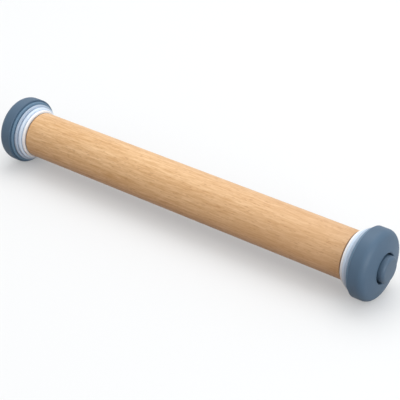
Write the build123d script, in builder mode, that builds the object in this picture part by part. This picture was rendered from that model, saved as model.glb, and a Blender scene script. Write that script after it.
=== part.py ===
from build123d import *
from math import asin, cos, radians, sin, sqrt
import os

# Adjustable rolling pin. The roller lies along X with its middle at the origin, and Z is up.
# Sizes are millimetres. A place along an end is measured outwards from the roller's end face.
# Each end has five height discs round a knob that screws into the roller.

# Roller
roller_length = 366.0
roller_diameter = 45.0
roller_edge_chamfer = 0.6

# Thin height discs, from the roller outwards, by how far each stands over the roller
disc_heights = {"2mm": 2.0, "4mm": 4.0, "6mm": 6.0, "8mm": 8.0}
disc_thickness = 3.2
disc_edge_chamfer = 0.4

# End disc, a domed moulding that is hollow and ribbed behind
end_disc_height = 10.0
end_disc_depth = 18.2
end_disc_edge_chamfer = 0.5
rim_radius = 7.0
dome_radius = 92.0
well_gap = 1.7
well_depth = 10.0
well_edge_radius = 1.2
shell_wall = 2.8
well_floor_thickness = 2.8
hub_wall = 2.6
rib_count = 8
rib_thickness = 1.8

# Knob, moulded in one piece with the sleeve that the discs slide on
knob_shoulder = 2.7
knob_stand = 4.8
knob_edge_radius = 2.8
sleeve_diameter = 19.0
sleeve_in_roller = 8.0
sleeve_tip_chamfer = 1.0

# Soft washer under the knob
washer_thickness = 1.2
washer_rim_inset = 0.4

# Stud, a hexagon bolt moulded into the knob
stud_diameter = 10.0
stud_head_across_flats = 16.0
stud_head_height = 6.4
stud_head_cover = 4.0
stud_engaged = 15.0
stud_tip_chamfer = 1.0
thread_pitch = 3.0

# Bush in the roller's end, which centres the sleeve
bush_wall = 3.9
bush_flange_width = 3.0
bush_flange_thickness = 2.0
bush_floor_thickness = 3.0
bush_mouth_chamfer = 0.6

# Brass insert behind the bush, which takes the stud
insert_wall = 3.0
insert_drive_step = 1.0
insert_drive_depth = 3.0
insert_beyond_thread = 1.5

# Clearances
sleeve_clearance = 0.1
thread_clearance = 0.05
glue_gap = 0.05
end_clearance = 1.5
washer_clearance = 0.2
overrun = 1.0

# Diameters that follow from the sleeve and the stud
disc_bore_radius = sleeve_diameter / 2 + sleeve_clearance
knob_diameter = sleeve_diameter + 2 * knob_shoulder
well_diameter = knob_diameter + 2 * well_gap
bush_diameter = 2 * (disc_bore_radius + bush_wall)
bush_flange_diameter = bush_diameter + 2 * bush_flange_width
insert_diameter = stud_diameter + 2 * insert_wall
insert_drive_across_flats = stud_diameter + 2 * insert_drive_step

# Places along an end
stack_depth = len(disc_heights) * disc_thickness
face_place = stack_depth + end_disc_depth
well_floor_place = face_place - well_depth
knob_seat_place = well_floor_place + washer_thickness
knob_face_place = face_place + knob_stand
sleeve_length = knob_seat_place + sleeve_in_roller
# With every disc off, the knob clamps on the roller and its sleeve and stud reach this much deeper
knob_drop = well_floor_place
bush_bore_depth = sleeve_in_roller + knob_drop + end_clearance
bush_length = bush_bore_depth + bush_floor_thickness
insert_length = insert_drive_depth + stud_engaged + insert_beyond_thread
insert_end_depth = bush_length + insert_length
stud_tip_depth = bush_length + insert_drive_depth + stud_engaged
stud_relief_depth = stud_tip_depth + knob_drop + end_clearance

# How far the joints travel
unscrew_travel = stud_engaged
unscrew_turns = unscrew_travel / thread_pitch
pull_off_travel = stud_tip_depth + end_clearance

sides = {"right": 1, "left": -1}


def end_plane(side):
    """The lengthwise section of one end: x outwards from the roller's end face, y away from the axis."""
    return Plane(origin=(side * roller_length / 2, 0, 0), x_dir=(side, 0, 0), z_dir=(0, -side, 0))


def cross_plane(side, place):
    """A plane square to the axis at a place along one end, facing outwards."""
    return Plane(origin=(side * (roller_length / 2 + place), 0, 0), x_dir=(0, side, 0), z_dir=(side, 0, 0))


def corner(sketch, place, radius):
    """The profile's corner nearest to a place along the end and a radius."""
    return sketch.vertices().sort_by_distance((place, radius))[0]


def hexagon_radius(across_flats):
    return across_flats / 2 / cos(radians(30))


def make_roller():
    """The plain beech roller with a stepped bore in each end."""
    with BuildPart() as roller:
        with BuildSketch(Plane.YZ):
            Circle(roller_diameter / 2)
        extrude(amount=roller_length / 2, both=True)
        ends = roller.edges().filter_by(GeomType.CIRCLE)
        chamfer(ends, roller_edge_chamfer)
        for side in sides.values():
            with Locations(cross_plane(side, 0)):
                CounterBoreHole(
                    radius=bush_diameter / 2 + glue_gap,
                    counter_bore_radius=bush_flange_diameter / 2 + glue_gap,
                    counter_bore_depth=bush_flange_thickness,
                    depth=bush_length,
                )
                Hole(radius=insert_diameter / 2 + glue_gap, depth=insert_end_depth)
                Hole(radius=stud_diameter / 2 + thread_clearance + glue_gap, depth=stud_relief_depth)
    roller.part.label = "roller"
    return roller.part


def make_bush(side, name):
    """The cup in the roller's end: a flange flush with the wood, a smooth bore and a floor."""
    with BuildPart() as bush:
        with BuildSketch(cross_plane(side, 0)):
            Circle(bush_flange_diameter / 2)
        extrude(amount=-bush_flange_thickness)
        with BuildSketch(cross_plane(side, -bush_flange_thickness)):
            Circle(bush_diameter / 2)
        extrude(amount=bush_flange_thickness - bush_length)
        with Locations(cross_plane(side, 0)):
            Hole(radius=disc_bore_radius, depth=bush_bore_depth)
            Hole(radius=stud_diameter / 2 + end_clearance, depth=bush_length)
        mouth = bush.faces().sort_by(Axis.X)[-1 if side > 0 else 0].inner_wires().edges()
        chamfer(mouth, bush_mouth_chamfer)
    bush.part.label = name
    return bush.part


def make_insert(side, name):
    """The brass insert: a bore for the stud and a hexagon socket at its mouth to drive it in by."""
    with BuildPart() as insert:
        with BuildSketch(cross_plane(side, -bush_length)):
            Circle(insert_diameter / 2)
        extrude(amount=-insert_length)
        with BuildSketch(cross_plane(side, -bush_length)):
            RegularPolygon(hexagon_radius(insert_drive_across_flats), 6)
        extrude(amount=-insert_drive_depth, mode=Mode.SUBTRACT)
        with Locations(cross_plane(side, -bush_length)):
            Hole(radius=stud_diameter / 2 + thread_clearance, depth=insert_length)
    insert.part.label = name
    return insert.part


def make_thin_disc(side, name, index, height):
    """A flat height disc. The edge that faces the roller is eased."""
    inner = index * disc_thickness
    outer_radius = roller_diameter / 2 + height
    with BuildPart() as disc:
        with BuildSketch(end_plane(side)) as profile:
            with Locations((inner, disc_bore_radius)):
                Rectangle(disc_thickness, outer_radius - disc_bore_radius, align=(Align.MIN, Align.MIN))
            chamfer(corner(profile, inner, outer_radius), disc_edge_chamfer)
        revolve(axis=Axis.X)
    disc.part.label = name
    return disc.part


def make_end_disc(side, name):
    """The domed end disc: a shell with a well for the knob, a hub and ribs behind."""
    radius = roller_diameter / 2 + end_disc_height
    well_radius = well_diameter / 2
    # The dome is part of a ball centred on the axis, and the rim's curve runs into it without an edge
    dome_centre = face_place - sqrt(dome_radius**2 - well_radius**2)
    rim_tilt = asin((radius - rim_radius) / (dome_radius - rim_radius))
    band_end = dome_centre + (dome_radius - rim_radius) * cos(rim_tilt)
    dome_edge = (dome_centre + dome_radius * cos(rim_tilt), dome_radius * sin(rim_tilt))

    # The hollow behind, between hub and shell, cut into pockets by the ribs
    ceiling = well_floor_place - well_floor_thickness
    hub_radius = disc_bore_radius + hub_wall
    with BuildPart() as pockets:
        with BuildSketch(end_plane(side)):
            with BuildLine():
                start = (stack_depth, hub_radius)
                well_side = well_radius + shell_wall
                Polyline(start, (stack_depth, radius - shell_wall), (band_end, radius - shell_wall),
                         (dome_edge[0] - shell_wall, dome_edge[1] - shell_wall),
                         (face_place - shell_wall, well_side), (ceiling, well_side),
                         (ceiling, hub_radius), start)
            make_face()
        revolve(axis=Axis.X)
        with BuildSketch(cross_plane(side, stack_depth)):
            with PolarLocations(radius / 2, rib_count):
                Rectangle(radius, rib_thickness)
        extrude(amount=end_disc_depth, mode=Mode.SUBTRACT)

    with BuildPart() as disc:
        with BuildSketch(end_plane(side)) as profile:
            with BuildLine():
                start = (stack_depth, disc_bore_radius)
                Polyline(start, (stack_depth, radius), (band_end, radius))
                rim = RadiusArc((band_end, radius), dome_edge, rim_radius)
                dome = RadiusArc(rim @ 1, (face_place, well_radius), dome_radius)
                Polyline(dome @ 1, (well_floor_place, well_radius),
                         (well_floor_place, disc_bore_radius), start)
            make_face()
            chamfer(corner(profile, stack_depth, radius), end_disc_edge_chamfer)
            fillet(corner(profile, face_place, well_radius), well_edge_radius)
        revolve(axis=Axis.X)
        add(pockets.part, mode=Mode.SUBTRACT)
    disc.part.label = name
    return disc.part


def make_washer(side, name):
    """The soft washer between the knob and the floor of the well."""
    with BuildPart() as washer:
        with BuildSketch(cross_plane(side, well_floor_place)):
            Circle(knob_diameter / 2 - washer_rim_inset)
            Circle(sleeve_diameter / 2 + washer_clearance, mode=Mode.SUBTRACT)
        extrude(amount=washer_thickness)
    washer.part.label = name
    return washer.part


def make_knob(side, name):
    """The knob and its sleeve, moulded round the stud."""
    with BuildPart() as knob:
        with BuildSketch(cross_plane(side, knob_seat_place)):
            Circle(knob_diameter / 2)
        extrude(amount=knob_face_place - knob_seat_place)
        face_rim = knob.edges().filter_by(GeomType.CIRCLE).sort_by(Axis.X, reverse=side < 0)[-1]
        fillet(face_rim, knob_edge_radius)
        with BuildSketch(cross_plane(side, knob_seat_place)):
            Circle(sleeve_diameter / 2)
        extrude(amount=-sleeve_length)
        tip = knob.edges().filter_by(GeomType.CIRCLE).sort_by(Axis.X, reverse=side < 0)[0]
        chamfer(tip, sleeve_tip_chamfer)
        head_top = knob_face_place - stud_head_cover
        with BuildSketch(cross_plane(side, head_top)):
            RegularPolygon(hexagon_radius(stud_head_across_flats) + glue_gap, 6)
        extrude(amount=-stud_head_height, mode=Mode.SUBTRACT)
        with BuildSketch(cross_plane(side, head_top)):
            Circle(stud_diameter / 2 + glue_gap)
        extrude(amount=-(head_top + sleeve_in_roller + overrun), mode=Mode.SUBTRACT)
    knob.part.label = name
    return knob.part


def make_stud(side, name):
    """The hexagon bolt whose head is held in the knob and whose end screws into the insert."""
    head_top = knob_face_place - stud_head_cover
    with BuildPart() as stud:
        with BuildSketch(cross_plane(side, head_top)):
            RegularPolygon(hexagon_radius(stud_head_across_flats), 6)
        extrude(amount=-stud_head_height)
        with BuildSketch(cross_plane(side, head_top - stud_head_height)):
            Circle(stud_diameter / 2)
        extrude(amount=-(head_top - stud_head_height + stud_tip_depth))
        tip = stud.edges().filter_by(GeomType.CIRCLE).sort_by(Axis.X, reverse=side < 0)[0]
        chamfer(tip, stud_tip_chamfer)
    stud.part.label = name
    return stud.part


parts = [make_roller()]
for side_name, side in sides.items():
    parts.append(make_bush(side, f"{side_name}_bush"))
    parts.append(make_insert(side, f"{side_name}_insert"))
    for index, (size_name, height) in enumerate(disc_heights.items()):
        parts.append(make_thin_disc(side, f"{side_name}_disc_{size_name}", index, height))
    parts.append(make_end_disc(side, f"{side_name}_disc_10mm"))
    parts.append(make_washer(side, f"{side_name}_washer"))
    parts.append(make_knob(side, f"{side_name}_knob"))
    parts.append(make_stud(side, f"{side_name}_stud"))

os.makedirs("parts", exist_ok=True)
for part in parts:
    export_step(part, f"parts/{part.label}.step")

print("overall length", 2 * (roller_length / 2 + knob_face_place))
print("unscrewing: turns", unscrew_turns, "travel", unscrew_travel, "pull off", pull_off_travel)
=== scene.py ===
"""An adjustable rolling pin: a beech roller with five height discs and a clamping knob on each end."""

from math import ceil, cos, floor, pi, radians, sin, tan

import bmesh
import bpy
from bpy.props import FloatProperty, FloatVectorProperty, IntProperty, PointerProperty
from mathutils import Euler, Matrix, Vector


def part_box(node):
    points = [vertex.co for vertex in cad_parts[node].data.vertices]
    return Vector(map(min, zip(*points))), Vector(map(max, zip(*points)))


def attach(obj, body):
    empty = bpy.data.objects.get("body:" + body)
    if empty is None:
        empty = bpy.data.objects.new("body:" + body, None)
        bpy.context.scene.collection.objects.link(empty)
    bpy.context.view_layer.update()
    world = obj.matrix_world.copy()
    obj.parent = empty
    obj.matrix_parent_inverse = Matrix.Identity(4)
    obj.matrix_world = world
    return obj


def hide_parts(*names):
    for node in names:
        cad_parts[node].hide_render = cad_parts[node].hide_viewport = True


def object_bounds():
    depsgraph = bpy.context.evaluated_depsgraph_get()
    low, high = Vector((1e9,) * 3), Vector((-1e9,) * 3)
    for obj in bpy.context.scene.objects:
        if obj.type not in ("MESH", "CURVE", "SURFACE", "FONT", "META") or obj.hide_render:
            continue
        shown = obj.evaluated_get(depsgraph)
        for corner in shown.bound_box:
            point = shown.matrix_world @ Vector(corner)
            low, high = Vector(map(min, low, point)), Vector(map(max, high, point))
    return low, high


bl_info = {
    "name": "Adjustable Rolling Pin",
    "version": (1, 0, 0),
    "blender": (4, 5, 0),
    "location": "3D View > Sidebar > Rolling Pin",
    "description": "Builds a beech rolling pin with stacked height discs round the packed part",
    "category": "Add Mesh",
}

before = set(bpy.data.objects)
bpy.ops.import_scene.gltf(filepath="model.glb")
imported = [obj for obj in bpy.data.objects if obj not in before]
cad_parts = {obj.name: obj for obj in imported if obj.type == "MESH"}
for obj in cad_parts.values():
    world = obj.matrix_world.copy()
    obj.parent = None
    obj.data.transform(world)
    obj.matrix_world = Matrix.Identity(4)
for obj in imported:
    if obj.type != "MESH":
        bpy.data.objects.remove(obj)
cad_low, cad_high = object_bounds()

# The pin's two ends, with the direction of each along X
SIDES = {"right": 1, "left": -1}
# The thin discs from the roller outwards, with their material slots
THIN_DISCS = {
    "2mm": "white_plastic",
    "4mm": "pale_blue_plastic",
    "6mm": "light_blue_plastic",
    "8mm": "mid_blue_plastic",
}
# The angle from one corner of a hexagon to the next
HEXAGON_SECTOR = pi / 3
# The colour sockets of a Mix node, whose names its other sockets share
MIX_FIRST, MIX_SECOND, MIX_RESULT = 6, 7, 2
WHITE = (1, 1, 1, 1)


def colour(name, description, default):
    """A paint colour that the sidebar shows."""
    return FloatVectorProperty(
        name=name, description=description, default=default, min=0, max=1, subtype="COLOR",
    )


def length(name, description, default):
    """A length in metres that the sidebar shows."""
    return FloatProperty(
        name=name, description=description, default=default, min=0, unit="LENGTH", precision=5,
    )


def location(name, description, default):
    """A place in metres that the sidebar shows."""
    return FloatVectorProperty(
        name=name, description=description, default=default, subtype="TRANSLATION", unit="LENGTH",
    )


def power(name, description, default):
    """A lamp's power in watts that the sidebar shows."""
    return FloatProperty(name=name, description=description, default=default, min=0, unit="POWER")


class PinSizes(bpy.types.PropertyGroup):
    """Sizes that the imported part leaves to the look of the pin."""

    roller_edge: length("Roller edge", "Radius of the sanded edge at each end of the roller", 0.0006)
    # The end grain length sets a band of painted shade at each end of the roller, the shadow in the joint
    # with the 2 mm disc
    joint_shade: length("End grain", "How far the dark end grain shows along the roller", 0.0011)
    disc_edge: length("Disc edge", "Radius of the moulded edges of the thin discs", 0.0006)
    knob_edge: length("Knob edge", "Radius of the round shoulder of the knob", 0.0028)
    small_edge: length("Small edge", "Radius of the least edges, such as those in the bores", 0.0004)
    bush_radius: length("Bush radius", "Outer radius of the bush in each end of the roller", 0.0135)
    bush_flange_radius: length("Bush flange radius", "Radius of the flange of that bush", 0.0165)
    bush_flange: length("Bush flange", "Thickness of the flange of that bush", 0.002)
    sleeve_radius: length("Sleeve radius", "Radius of the knob's sleeve", 0.0095)
    sleeve_gap: length("Sleeve gap", "Gap between the sleeve and the discs' bores", 0.0001)
    glue_gap: length("Glue gap", "Gap round a piece that is glued in", 0.00005)
    insert_radius: length("Insert radius", "Outer radius of the brass insert", 0.008)
    insert_socket: length("Insert socket", "Depth of the hexagon socket that drives the insert in", 0.003)
    insert_flats: length("Insert flats", "Width across the flats of that socket", 0.012)
    stud_radius: length("Stud radius", "Radius over the stud's thread", 0.005)
    stud_flats: length("Stud flats", "Width across the flats of the stud's head", 0.016)
    stud_head: length("Stud head", "Height of the stud's head", 0.0064)
    stud_relief: length("Stud relief", "Depth of the hole behind the insert, from the roller's end", 0.074)
    thread_pitch: length("Thread pitch", "How far the knob travels in one turn", 0.003)
    thread_length: length("Thread length", "How much of the stud is threaded, from its tip", 0.038)
    thread_depth: length("Thread depth", "Depth of the stud's thread", 0.0014)
    thread_gap: length("Thread gap", "Gap between the stud's thread and the insert's", 0.00005)
    crest_share: FloatProperty(
        name="Crest share", description="Share of the pitch that the flat crest of the thread takes",
        default=0.3, min=0.1, max=0.5, subtype="FACTOR",
    )
    flank_share: FloatProperty(
        name="Flank share", description="Share of the pitch that each sloping flank takes",
        default=0.15, min=0.05, max=0.24, subtype="FACTOR",
    )
    disc_relief: length("Disc relief", "Width of the shadow gap between a disc and the next one in", 0.0008)
    relief_reach: length("Relief reach", "Depth of that shadow gap", 0.0025)
    facets: IntProperty(
        name="Facets", description="How many facets go round each turned piece", default=168, min=24,
    )


class PinColours(bpy.types.PropertyGroup):
    """Colours of the wood, plastics and metals."""

    beech: colour("Beech", "Ground colour of the wood", (0.895, 0.60, 0.335))
    beech_deep: colour("Beech grain", "Colour of the darker grain", (0.60, 0.325, 0.125))
    beech_fleck: colour("Beech rays", "Colour of the short rays in the wood", (0.41, 0.18, 0.07))
    # The beech end grain colour is painted shade, the shadow in the joint between the roller and the 2 mm
    # disc
    beech_joint_shade: colour("Beech end grain", "Dark end grain of the roller", (0.24, 0.13, 0.065))
    # The beech heart colour is painted shade: the wood turns darker and a little redder towards the right
    # end, where less light falls
    beech_right_shade: colour("Beech heart", "Redder wood towards the right end", (0.60, 0.37, 0.215))
    disc_2mm: colour("2 mm disc", "White plastic", (0.96, 0.975, 1.0))
    disc_4mm: colour("4 mm disc", "Pale blue plastic", (0.70, 0.82, 0.96))
    disc_6mm: colour("6 mm disc", "Light blue plastic", (0.455, 0.555, 0.685))
    disc_8mm: colour("8 mm disc", "Mid blue plastic", (0.14, 0.245, 0.36))
    disc_10mm: colour("10 mm disc", "Dark blue plastic", (0.067, 0.126, 0.2))
    knob: colour("Knob", "Dark blue plastic of the knobs", (0.066, 0.119, 0.186))
    nylon: colour("Nylon", "Natural nylon of the bushes", (0.72, 0.71, 0.66))
    silicone: colour("Silicone", "Grey washers under the knobs", (0.08, 0.09, 0.10))
    brass: colour("Brass", "Turned inserts", (0.75, 0.52, 0.22))
    zinc: colour("Zinc", "Plated steel studs", (0.62, 0.62, 0.60))


class PinStage(bpy.types.PropertyGroup):
    """Camera, lamps, sky and floor."""

    camera_place: location("Camera place", "Where the camera stands", (0.6194, -0.7830, 0.5828))
    camera_turn: FloatVectorProperty(
        name="Camera turn", description="Tilt, roll and turn of the camera",
        default=(radians(90 - 30.72), 0, radians(37.53)), subtype="EULER", unit="ROTATION",
    )
    lens: FloatProperty(name="Lens", description="Focal length", default=112.2, min=1, unit="CAMERA")
    key_power: power("Key power", "Power of the lamp overhead", 11.6)
    key_size: length("Key size", "Width of the lamp overhead", 1.6)
    key_place: location("Key place", "Where the lamp overhead hangs", (-0.2, 0.6, 1.6))
    fill_power: power("Fill power", "Power of the lamp off the right end", 15.8)
    fill_size: length("Fill size", "Width of the lamp off the right end", 1.2)
    fill_place: location("Fill place", "Where the lamp off the right end hangs", (1.9, -0.5, 0.5))
    sky: FloatProperty(name="Sky", description="Strength of the light from all round", default=0.84, min=0)
    floor_seen: colour("Floor seen", "Floor as the camera sees it", (0.602, 0.611, 0.618))
    floor_lift: FloatProperty(
        name="Floor lift", description="How much whiter the floor looks than it is lit", default=0.255,
    )
    floor_bounce: colour("Floor bounce", "Light that the floor throws back on the pin", (0.11, 0.042, 0.015))
    floor_size: length("Floor size", "Radius of the floor", 4.0)


class RollingPin(bpy.types.PropertyGroup):
    """All that can be set on the pin."""

    sizes: PointerProperty(type=PinSizes)
    colours: PointerProperty(type=PinColours)
    stage: PointerProperty(type=PinStage)


def pin():
    """The sizes, colours and stage of the scene's pin."""
    return bpy.context.scene.rolling_pin


def span(node, side):
    """How far from the pin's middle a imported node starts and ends, and its radius."""
    low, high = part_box(node)
    near, far = sorted((side * low.x, side * high.x))
    return near, far, high.z


def rounded(corners, closed=True):
    """The outline through (place, radius, rounding) corners, with an arc at each rounded one."""
    arc_steps = 6
    outline = []
    for index, (place, radius, rounding) in enumerate(corners):
        corner = Vector((place, radius))
        at_end = not closed and index in (0, len(corners) - 1)
        if rounding == 0 or at_end:
            outline.append(corner)
            continue
        back = (Vector(corners[index - 1][:2]) - corner).normalized()
        ahead = (Vector(corners[(index + 1) % len(corners)][:2]) - corner).normalized()
        half = back.angle(ahead) / 2
        centre = corner + (back + ahead).normalized() * rounding / sin(half)
        start = corner + back * rounding / tan(half) - centre
        end = corner + ahead * rounding / tan(half) - centre
        for step in range(arc_steps + 1):
            outline.append(centre + rounding * start.slerp(end, step / arc_steps))
    return outline


def point(side, place, radius, angle):
    """The point so far out from the middle, at a radius and an angle round the axis.

    The left end is the right one turned half round.
    """
    return side * place, side * radius * cos(angle), radius * sin(angle)


def ring(shape, side, place, radius):
    """The vertices of a ring round the pin's axis, or the single one on it."""
    if radius == 0:
        return [shape.verts.new((side * place, 0, 0))]
    facets = pin().sizes.facets
    return [shape.verts.new(point(side, place, radius, 2 * pi * step / facets)) for step in range(facets)]


def hexagon(shape, side, place, flats):
    """A hexagon round the axis, with as many vertices as a ring."""
    facets = pin().sizes.facets
    vertices = []
    for step in range(facets):
        angle = 2 * pi * step / facets
        radius = flats / 2 / cos(angle % HEXAGON_SECTOR - HEXAGON_SECTOR / 2)
        vertices.append(shape.verts.new(point(side, place, radius, angle)))
    return vertices


def skin(shape, rings):
    """Faces from each ring to the next."""
    facets = pin().sizes.facets
    for near, far in zip(rings, rings[1:]):
        for step in range(facets):
            following = (step + 1) % facets
            corners = [near[step % len(near)], near[following % len(near)],
                       far[following % len(far)], far[step % len(far)]]
            # A single vertex on the axis counts once
            shape.faces.new(dict.fromkeys(corners))


def turned(name, outline, side, material, closed=True):
    """A piece turned on the lathe: the outline of places and radii goes round the pin's axis."""
    shape = bmesh.new()
    rings = [ring(shape, side, place, radius) for place, radius in outline]
    skin(shape, rings + rings[:1] if closed else rings)
    return finished(name, shape, material)


def thread(shape, side, origin, low, high, crest, root, widen=0):
    """A right-hand thread between two (place, radius) ends, whose faces follow the helix.

    It fades into both ends. A crest starts at the origin, and widen is added on each side of it.
    """
    sizes = pin().sizes
    (start, start_radius), (end, end_radius) = low, high
    pitch, facets = sizes.thread_pitch, sizes.facets
    crest_end, flank = sizes.crest_share * pitch, sizes.flank_share * pitch
    profile = ((-widen, crest), (crest_end + widen, crest),
               (crest_end + flank + widen, root), (pitch - flank - widen, root))
    turns = range(floor((start - origin) / pitch) - 1, ceil((end - origin) / pitch) + 1)
    rows = []
    for turn in turns:
        for offset, radius in profile:
            row = []
            for step in range(facets + 1):
                place = origin + (turn + step / facets) * pitch + offset
                place = min(max(place, start), end)
                faded_in = start_radius + (radius - start_radius) * min(1, (place - start) / pitch)
                faded_out = end_radius + (faded_in - end_radius) * min(1, (end - place) / pitch)
                row.append(shape.verts.new(point(side, place, faded_out, 2 * pi * step / facets)))
            rows.append(row)
    for near, far in zip(rows, rows[1:]):
        for step in range(facets):
            shape.faces.new((near[step], near[step + 1], far[step + 1], far[step]))


def finished(name, shape, material):
    """Makes the object of a bmesh, shaded smooth except over its sharp edges."""
    sharp_from, weld = radians(32), 1e-7
    bmesh.ops.remove_doubles(shape, verts=shape.verts, dist=weld)
    bmesh.ops.recalc_face_normals(shape, faces=shape.faces)
    mesh = bpy.data.meshes.new(name)
    shape.to_mesh(mesh)
    shape.free()
    mesh.shade_smooth()
    mesh.set_sharp_from_angle(angle=sharp_from)
    mesh.materials.append(material)
    piece = bpy.data.objects.new(name, mesh)
    bpy.context.scene.collection.objects.link(piece)
    return piece


def stand_for(piece, body, node):
    """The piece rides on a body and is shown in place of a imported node."""
    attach(piece, body)
    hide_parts(node)


def dress(node, material):
    """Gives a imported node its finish."""
    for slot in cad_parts[node].material_slots:
        slot.material = material


def node_adder(tree):
    """A function that adds a node to the tree, with each input set or linked and its settings made."""
    def add(kind, inputs=None, **settings):
        node = tree.nodes.new("ShaderNode" + kind)
        for key, value in settings.items():
            setattr(node, key, value)
        for key, value in (inputs or {}).items():
            if isinstance(value, bpy.types.NodeSocket):
                tree.links.new(value, node.inputs[key])
            else:
                node.inputs[key].default_value = value
        return node

    return add


def emptied(tree):
    """Clears a node tree and gives the function that adds to it."""
    tree.nodes.clear()
    return node_adder(tree)


def new_material(name):
    """A material, its shader, and functions that add a node to it and join one to the shader."""
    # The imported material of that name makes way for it
    packed = bpy.data.materials.get(name)
    if packed:
        bpy.data.materials.remove(packed)
    material = bpy.data.materials.new(name)
    material.use_nodes = True
    tree = material.node_tree
    shader = tree.nodes["Principled BSDF"]

    def join(output, key):
        tree.links.new(output, shader.inputs[key])

    return material, shader, node_adder(tree), join


def stretched(add, along, across, shift=(0, 0, 0)):
    """Object coordinates, scaled along the pin's axis and across it."""
    place = add("TexCoord").outputs["Object"]
    inputs = {"Vector": place, "Scale": (along, across, across), "Location": shift}
    return add("Mapping", inputs).outputs["Vector"]


def noise(add, along, across, detail=3, roughness=0.6):
    """Noise with so many marks to the metre along the pin's axis and across it."""
    vector = stretched(add, along, across)
    inputs = {"Vector": vector, "Scale": 1, "Detail": detail, "Roughness": roughness}
    return add("TexNoise", inputs).outputs["Fac"]


def specks(add, along, across, chosen, edge):
    """Specks in so many cells to the metre: the chosen ones have one, and it fades out at its edge."""
    vector = stretched(add, along, across)
    cells = add("TexVoronoi", {"Vector": vector, "Scale": 1})
    kept = ramp(add, cells.outputs["Color"], *chosen)
    inside = ramp(add, cells.outputs["Distance"], *edge)
    return add("Math", {0: inside, 1: kept}, operation="MULTIPLY").outputs[0]


def ramp(add, factor, low, high):
    """A factor spread from 0 at low to 1 at high."""
    inputs = {"Value": factor, "From Min": low, "From Max": high}
    return add("MapRange", inputs, clamp=True).outputs["Result"]


def between(add, factor, low, high):
    """A factor turned into a value from low at 0 to high at 1."""
    return add("MapRange", {"Value": factor, "To Min": low, "To Max": high}).outputs["Result"]


def blend(add, factor, first, second):
    """Two colours mixed by a factor."""
    inputs = {"Factor": factor, MIX_FIRST: first, MIX_SECOND: second}
    return add("Mix", inputs, data_type="RGBA").outputs[MIX_RESULT]


def bump(add, height, strength, distance):
    """The shading of a surface that is as rough as the height says."""
    inputs = {"Height": height, "Strength": strength, "Distance": distance}
    return add("Bump", inputs).outputs["Normal"]


def opaque(paint):
    """A sidebar colour with its alpha."""
    return (*paint, 1)


def darkened(paint, share):
    """A share of a sidebar colour, with its alpha."""
    return opaque(channel * share for channel in paint)


def weighed(add, *shares):
    """The sum of some factors, each times its share."""
    total = 0.0
    for factor, share in shares:
        total = add("Math", {0: factor, 1: share, 2: total}, operation="MULTIPLY_ADD").outputs[0]
    return total


def seen_rays(add):
    """1 for rays of the camera and those seen in gloss or through glass, 0 for light on the object."""
    path = add("LightPath").outputs
    seen = path["Is Camera Ray"]
    for kind in ("Is Glossy Ray", "Is Transmission Ray"):
        seen = add("Math", {0: seen, 1: path[kind]}, operation="MAXIMUM").outputs[0]
    return seen


def beech():
    """Oiled beech: faint growth rings, fine straight grain and the short dark rays that mark the wood, with
    painted shade at its ends and towards its right end.
    """
    colours = pin().colours
    material, shader, add, join = new_material("oiled_beech")

    # The grain, from its widest marks to its finest
    axis_from_pith = (0, 0.012, 0.045)
    rings = add("TexWave", {
        "Vector": stretched(add, 0.2, 1, shift=axis_from_pith), "Scale": 60, "Distortion": 3.5,
        "Detail": 3, "Detail Scale": 1.2, "Detail Roughness": 0.55,
    }, wave_type="RINGS", rings_direction="X", wave_profile="SAW").outputs["Fac"]
    bands = ramp(add, noise(add, 5, 60, detail=2), 0.3, 0.7)
    streaks = ramp(add, noise(add, 18, 380), 0.34, 0.66)
    fibres = ramp(add, noise(add, 75, 850), 0.38, 0.62)
    grain = weighed(add, (rings, 0.12), (bands, 0.16), (streaks, 0.36), (fibres, 0.44))
    ground = blend(add, grain, opaque(colours.beech), opaque(colours.beech_deep))

    # Painted shade: the wood turns darker and a little redder towards the right end, where less light falls
    along = add("SeparateXYZ", {"Vector": stretched(add, 1, 1)}).outputs["X"]
    towards_right = ramp(add, along, -0.05, 0.2)
    ground = blend(add, weighed(add, (towards_right, 0.45)), ground, opaque(colours.beech_right_shade))

    # Short rays all over and a few larger flecks
    rays = specks(add, 210, 1050, chosen=(0.55, 0.8), edge=(0.45, 0.2))
    flecks = specks(add, 150, 520, chosen=(0.8, 0.85), edge=(0.42, 0.3))
    ground = blend(add, weighed(add, (rays, 0.45), (flecks, 0.3)), ground, opaque(colours.beech_fleck))

    # Painted shade: a dark band at each end of the roller, standing for the shadow in the joint with the 2
    # mm disc
    _, end, _ = span("roller", 1)
    from_middle = add("Math", {0: along}, operation="ABSOLUTE").outputs[0]
    joint_shade_start = end - pin().sizes.joint_shade
    joint_shade = add("Math", {0: from_middle, 1: joint_shade_start}, operation="GREATER_THAN").outputs[0]
    join(blend(add, joint_shade, ground, opaque(colours.beech_joint_shade)), "Base Color")

    # Open pores under the oil
    pores = noise(add, 700, 5200, detail=1)
    join(between(add, pores, 0.40, 0.54), "Roughness")
    height = weighed(add, (pores, 1.0), (fibres, -0.5), (rays, -1.0))
    join(bump(add, height, strength=0.15, distance=0.0002), "Normal")
    shader.inputs["Specular IOR Level"].default_value = 0.38
    return material


def moulded(name, paint, roughness=0.46):
    """Matt moulded plastic: a fine spark-eroded skin, and tone that drifts a little over the piece."""
    material, _, add, join = new_material(name)
    drift = ramp(add, noise(add, 55, 55, roughness=0.55), 0.3, 0.7)
    skin_grain = noise(add, 2600, 2600, detail=2)
    join(blend(add, drift, opaque(paint), darkened(paint, 0.93)), "Base Color")
    join(between(add, skin_grain, roughness - 0.06, roughness + 0.08), "Roughness")
    join(bump(add, skin_grain, strength=0.08, distance=0.0001), "Normal")
    return material


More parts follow.
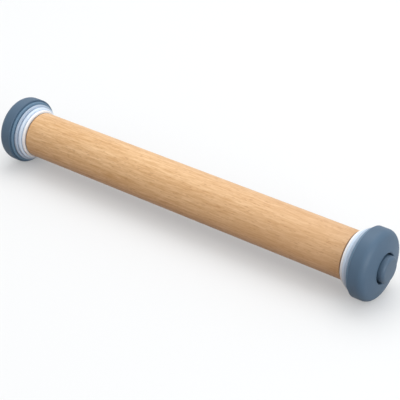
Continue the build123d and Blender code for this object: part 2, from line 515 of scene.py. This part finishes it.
def turned_metal(name, paint, roughness):
    """Machined metal with the fine rings that a lathe leaves, running round the pin's axis."""
    material, shader, add, join = new_material(name)
    rings = noise(add, 9000, 60, detail=2, roughness=0.5)
    bloom = noise(add, 420, 420)
    join(blend(add, ramp(add, bloom, 0.35, 0.7), opaque(paint), darkened(paint, 0.8)), "Base Color")
    join(between(add, bloom, roughness - 0.05, roughness + 0.1), "Roughness")
    join(bump(add, rings, strength=0.15, distance=0.00005), "Normal")
    shader.inputs["Metallic"].default_value = 1
    return material


class ROLLINGPIN_OT_roller(bpy.types.Operator):
    """Turn the beech roller with a stepped bore in each end"""

    bl_idname = "rolling_pin.roller"
    bl_label = "Roller"

    def execute(self, context):
        sizes = pin().sizes
        _, end, radius = span("roller", 1)
        bush_floor, bush_mouth, _ = span("right_bush", 1)
        insert_end, _, _ = span("right_insert", 1)
        relief_end = end - sizes.stud_relief
        flange_back = bush_mouth - sizes.bush_flange
        stud_hole = sizes.stud_radius + 2 * sizes.glue_gap
        insert_hole = sizes.insert_radius + sizes.glue_gap
        bush_hole = sizes.bush_radius + sizes.glue_gap
        flange_hole = sizes.bush_flange_radius + sizes.glue_gap
        right_half = rounded([
            (relief_end, 0, 0), (relief_end, stud_hole, 0),
            (insert_end, stud_hole, 0), (insert_end, insert_hole, 0),
            (bush_floor, insert_hole, 0), (bush_floor, bush_hole, 0),
            (flange_back, bush_hole, 0), (flange_back, flange_hole, 0),
            (end, flange_hole, 0), (end, radius, sizes.roller_edge), (0, radius, 0),
        ], closed=False)
        left_half = [Vector((-place, height)) for place, height in reversed(right_half[:-1])]
        roller = turned("beech_roller", right_half + left_half, 1, beech(), closed=False)
        stand_for(roller, "roller", "roller")
        return {"FINISHED"}


class ROLLINGPIN_OT_bushes(bpy.types.Operator):
    """Give the nylon bushes in the ends of the roller their finish"""

    bl_idname = "rolling_pin.bushes"
    bl_label = "Bushes"

    def execute(self, context):
        nylon = moulded("natural_nylon", pin().colours.nylon, roughness=0.38)
        for side in SIDES:
            dress(f"{side}_bush", nylon)
        return {"FINISHED"}


class ROLLINGPIN_OT_inserts(bpy.types.Operator):
    """Cut the threads and the hexagon sockets of the brass inserts"""

    bl_idname = "rolling_pin.inserts"
    bl_label = "Inserts"

    def execute(self, context):
        sizes = pin().sizes
        brass = turned_metal("turned_brass", pin().colours.brass, roughness=0.28)
        bore = sizes.stud_radius + sizes.thread_gap
        for side_name, side in SIDES.items():
            node = f"{side_name}_insert"
            end, mouth, radius = span(node, side)
            stud_tip, _, _ = span(f"{side_name}_stud", side)
            socket_floor = mouth - sizes.insert_socket
            shape = bmesh.new()
            skin(shape, [
                ring(shape, side, end, bore),
                ring(shape, side, end, radius),
                ring(shape, side, mouth, radius),
                hexagon(shape, side, mouth, sizes.insert_flats),
                hexagon(shape, side, socket_floor, sizes.insert_flats),
                ring(shape, side, socket_floor, bore),
            ])
            ends = (end, bore), (socket_floor, bore)
            ridge = bore - sizes.thread_depth
            thread(shape, side, stud_tip, *ends, bore, ridge, widen=sizes.thread_gap)
            insert = finished(f"{side_name}_threaded_insert", shape, brass)
            stand_for(insert, "roller", node)
        return {"FINISHED"}


class ROLLINGPIN_OT_thin_discs(bpy.types.Operator):
    """Turn the four thin height discs of each end"""

    bl_idname = "rolling_pin.thin_discs"
    bl_label = "Thin discs"

    def execute(self, context):
        sizes = pin().sizes
        bore = sizes.sleeve_radius + sizes.sleeve_gap
        _, _, neighbour_radius = span("roller", 1)
        for height, slot in THIN_DISCS.items():
            plastic = moulded(slot, getattr(pin().colours, f"disc_{height}"))
            seat = neighbour_radius - sizes.relief_reach
            for side_name, side in SIDES.items():
                node = f"{side_name}_disc_{height}"
                inner, outer, radius = span(node, side)
                outline = rounded([
                    (inner, bore, sizes.small_edge), (outer, bore, sizes.small_edge),
                    (outer, radius, sizes.disc_edge), (inner + sizes.disc_relief, radius, sizes.disc_edge),
                    (inner + sizes.disc_relief, seat, 0), (inner, seat, 0),
                ])
                disc = turned(f"{side_name}_height_disc_{height}", outline, side, plastic)
                stand_for(disc, node, node)
            _, _, neighbour_radius = span(f"right_disc_{height}", 1)
        return {"FINISHED"}


class ROLLINGPIN_OT_end_discs(bpy.types.Operator):
    """Give the domed end discs their finish"""

    bl_idname = "rolling_pin.end_discs"
    bl_label = "End discs"

    def execute(self, context):
        plastic = moulded("dark_blue_plastic", pin().colours.disc_10mm, roughness=0.52)
        for side in SIDES:
            dress(f"{side}_disc_10mm", plastic)
        return {"FINISHED"}


class ROLLINGPIN_OT_washers(bpy.types.Operator):
    """Mould the soft washers under the knobs"""

    bl_idname = "rolling_pin.washers"
    bl_label = "Washers"

    def execute(self, context):
        sizes = pin().sizes
        silicone = moulded("grey_silicone", pin().colours.silicone, roughness=0.6)
        bore = sizes.sleeve_radius + 2 * sizes.sleeve_gap
        for side_name, side in SIDES.items():
            node = f"{side_name}_washer"
            inner, outer, radius = span(node, side)
            outline = rounded([
                (inner, bore, sizes.small_edge), (outer, bore, sizes.small_edge),
                (outer, radius, sizes.small_edge), (inner, radius, sizes.small_edge),
            ])
            washer = turned(f"{side_name}_soft_washer", outline, side, silicone)
            stand_for(washer, node, node)
        return {"FINISHED"}


class ROLLINGPIN_OT_knobs(bpy.types.Operator):
    """Mould the round knobs with the sleeves that carry the discs"""

    bl_idname = "rolling_pin.knobs"
    bl_label = "Knobs"

    def execute(self, context):
        sizes = pin().sizes
        plastic = moulded("knob_plastic", pin().colours.knob)
        sleeve = sizes.sleeve_radius
        bore = sizes.stud_radius + sizes.glue_gap
        pocket = sizes.stud_flats / 2 / cos(HEXAGON_SECTOR / 2) + sizes.glue_gap
        for side_name, side in SIDES.items():
            node = f"{side_name}_knob"
            tip, face, radius = span(node, side)
            _, seat, _ = span(f"{side_name}_washer", side)
            _, head_top, _ = span(f"{side_name}_stud", side)
            head_end = head_top - sizes.stud_head
            outline = rounded([
                (head_top, 0, 0), (head_top, pocket, 0), (head_end, pocket, 0), (head_end, bore, 0),
                (tip, bore, 0), (tip, sleeve, 2 * sizes.small_edge), (seat, sleeve, 0),
                (seat, radius, sizes.small_edge), (face, radius, sizes.knob_edge), (face, 0, 0),
            ], closed=False)
            knob = turned(f"{side_name}_clamping_knob", outline, side, plastic, closed=False)
            stand_for(knob, node, node)
        return {"FINISHED"}


class ROLLINGPIN_OT_studs(bpy.types.Operator):
    """Cut the threads of the steel studs, with the hexagon heads that the knobs hold"""

    bl_idname = "rolling_pin.studs"
    bl_label = "Studs"

    def execute(self, context):
        sizes = pin().sizes
        steel = turned_metal("zinc_plated_steel", pin().colours.zinc, roughness=0.32)
        shank = sizes.stud_radius
        core = shank - sizes.thread_depth
        for side_name, side in SIDES.items():
            node = f"{side_name}_stud"
            tip, head_top, _ = span(node, side)
            head_end = head_top - sizes.stud_head
            thread_end = tip + sizes.thread_length
            shape = bmesh.new()
            skin(shape, [
                ring(shape, side, head_top, 0), hexagon(shape, side, head_top, sizes.stud_flats),
                hexagon(shape, side, head_end, sizes.stud_flats), ring(shape, side, head_end, shank),
                ring(shape, side, thread_end, shank),
            ])
            thread(shape, side, tip, (tip, core), (thread_end, shank), shank, core)
            skin(shape, [ring(shape, side, tip, core), ring(shape, side, tip, 0)])
            stud = finished(f"{side_name}_threaded_stud", shape, steel)
            stand_for(stud, f"{side_name}_knob", node)
        return {"FINISHED"}


class ROLLINGPIN_OT_stage(bpy.types.Operator):
    """Set the white floor, the lamps and the camera"""

    bl_idname = "rolling_pin.stage"
    bl_label = "Stage"

    def execute(self, context):
        stage = pin().stage
        self.lay_floor(stage)
        self.hang_lamp("key_lamp", stage.key_size, stage.key_power, stage.key_place)
        self.hang_lamp("fill_lamp", stage.fill_size, stage.fill_power, stage.fill_place)
        self.paint_sky(stage)
        self.place_camera(stage)
        return {"FINISHED"}

    def lay_floor(self, stage):
        material = bpy.data.materials.new("white_floor")
        material.use_nodes = True
        add = emptied(material.node_tree)
        seen = seen_rays(add)
        tone = blend(add, seen, opaque(stage.floor_bounce), opaque(stage.floor_seen))
        lift = add("Math", {0: seen, 1: stage.floor_lift}, operation="MULTIPLY").outputs[0]
        paint = add("BsdfDiffuse", {"Color": tone})
        glow = add("Emission", {"Color": WHITE, "Strength": lift})
        both = add("AddShader", {0: paint.outputs[0], 1: glow.outputs[0]})
        add("OutputMaterial", {"Surface": both.outputs[0]})
        floor_facets = 96
        shape = bmesh.new()
        bmesh.ops.create_circle(shape, cap_ends=True, segments=floor_facets, radius=stage.floor_size)
        bmesh.ops.translate(shape, verts=shape.verts, vec=(0, 0, cad_low.z))
        floor = finished("floor", shape, material)

    def hang_lamp(self, name, size, energy, place):
        lamp = bpy.data.lights.new(name, "AREA")
        lamp.shape = "DISK"
        lamp.size = size
        lamp.energy = energy
        holder = bpy.data.objects.new(name, lamp)
        holder.location = place
        holder.rotation_euler = (-Vector(place)).to_track_quat("-Z", "Y").to_euler()
        bpy.context.scene.collection.objects.link(holder)

    def paint_sky(self, stage):
        world = bpy.data.worlds.new("white_room")
        bpy.context.scene.world = world
        world.use_nodes = True
        add = emptied(world.node_tree)
        strength = between(add, seen_rays(add), stage.sky, 1)
        background = add("Background", {"Color": WHITE, "Strength": strength})
        add("OutputWorld", {"Surface": background.outputs[0]})

    def place_camera(self, stage):
        lens = bpy.data.cameras.new("photo_camera")
        lens.lens = stage.lens
        camera = bpy.data.objects.new("photo_camera", lens)
        camera.location = stage.camera_place
        camera.rotation_euler = Euler(stage.camera_turn)
        bpy.context.scene.collection.objects.link(camera)
        bpy.context.scene.camera = camera
        bpy.context.scene.view_settings.view_transform = "Standard"


class VIEW3D_PT_rolling_pin(bpy.types.Panel):
    """The pin's pieces, sizes and colours in the sidebar"""

    bl_label = "Rolling Pin"
    bl_space_type = "VIEW_3D"
    bl_region_type = "UI"
    bl_category = "Rolling Pin"

    def draw(self, context):
        layout = self.layout
        for operator in OPERATORS:
            layout.operator(operator.bl_idname)
        for group in (pin().sizes, pin().colours, pin().stage):
            box = layout.box()
            for key in group.__annotations__:
                box.prop(group, key)


OPERATORS = (
    ROLLINGPIN_OT_roller,
    ROLLINGPIN_OT_bushes,
    ROLLINGPIN_OT_inserts,
    ROLLINGPIN_OT_thin_discs,
    ROLLINGPIN_OT_end_discs,
    ROLLINGPIN_OT_washers,
    ROLLINGPIN_OT_knobs,
    ROLLINGPIN_OT_studs,
    ROLLINGPIN_OT_stage,
)
CLASSES = (PinSizes, PinColours, PinStage, RollingPin, *OPERATORS, VIEW3D_PT_rolling_pin)


def register():
    for cls in CLASSES:
        bpy.utils.register_class(cls)
    bpy.types.Scene.rolling_pin = PointerProperty(type=RollingPin)


def unregister():
    del bpy.types.Scene.rolling_pin
    for cls in reversed(CLASSES):
        bpy.utils.unregister_class(cls)


def main():
    """Builds every piece round the frame."""
    register()
    bpy.ops.rolling_pin.roller()
    bpy.ops.rolling_pin.bushes()
    bpy.ops.rolling_pin.inserts()
    bpy.ops.rolling_pin.thin_discs()
    bpy.ops.rolling_pin.end_discs()
    bpy.ops.rolling_pin.washers()
    bpy.ops.rolling_pin.knobs()
    bpy.ops.rolling_pin.studs()
    bpy.ops.rolling_pin.stage()
    bpy.context.view_layer.update()


if __name__ == "__main__":
    main()
